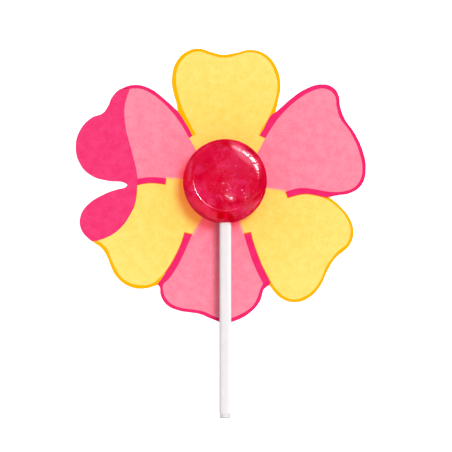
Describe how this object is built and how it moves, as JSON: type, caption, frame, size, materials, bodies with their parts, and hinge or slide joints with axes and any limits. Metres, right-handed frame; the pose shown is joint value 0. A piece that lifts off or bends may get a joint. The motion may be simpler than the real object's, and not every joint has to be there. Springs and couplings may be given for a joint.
{
  "type": "flat round lollipop on a flower card",
  "caption": "Flat round red lollipop on a straight white paper stick, lying on a thin die-cut paper flower with yellow and pink petals.",
  "frame": {"origin": "middle of the flower on the card's back face, straight under the middle of the candy's rim", "axes": "+Z out of the card's printed side through the candy, +Y from the candy toward the flower's top, so the stick runs along -Y"},
  "size_m": [0.1085, 0.1379, 0.0118],
  "materials": {
    "printed_card": "uncoated paper board printed with yellow and pink petals, orange and magenta lines and magenta fields",
    "red_candy": null,
    "white_paper": "smooth white rolled paper"
  },
  "bodies": {
    "root": {"flower_card": "printed_card", "candy": "red_candy", "stick": "white_paper"}
  },
  "joints": []
}
